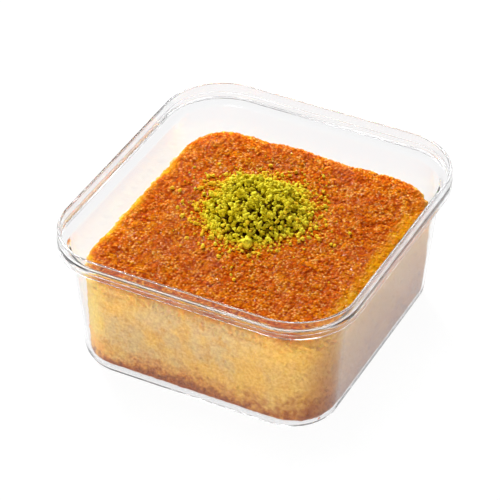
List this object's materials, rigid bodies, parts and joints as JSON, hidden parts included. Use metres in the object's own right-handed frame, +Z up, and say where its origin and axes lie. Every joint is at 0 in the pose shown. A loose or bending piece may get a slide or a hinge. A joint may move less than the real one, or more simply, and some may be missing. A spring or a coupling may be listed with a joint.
{
  "type": "basbousa in a clear tub",
  "caption": "Square slab of syrup-soaked semolina cake with a browned crust and a heap of ground pistachio, in an open clear plastic tub with a stepped rim.",
  "frame": {"origin": "middle of the tub's flat base", "axes": "+Z up, +Y along the tub's slightly longer side, +X across it; the broad front of the picture is -Y and its right side is +X"},
  "size_m": [0.096, 0.102, 0.0463],
  "materials": {
    "clear_plastic": "clear and glossy, colourless",
    "semolina_cake": "moist, grainy, browned crust over yellow crumb",
    "ground_pistachio": "dry, matt nut crumbs, yellow-green"
  },
  "bodies": {
    "root": {"tub": "clear_plastic", "basbousa": "semolina_cake", "pistachio_mound": "ground_pistachio"}
  },
  "joints": []
}
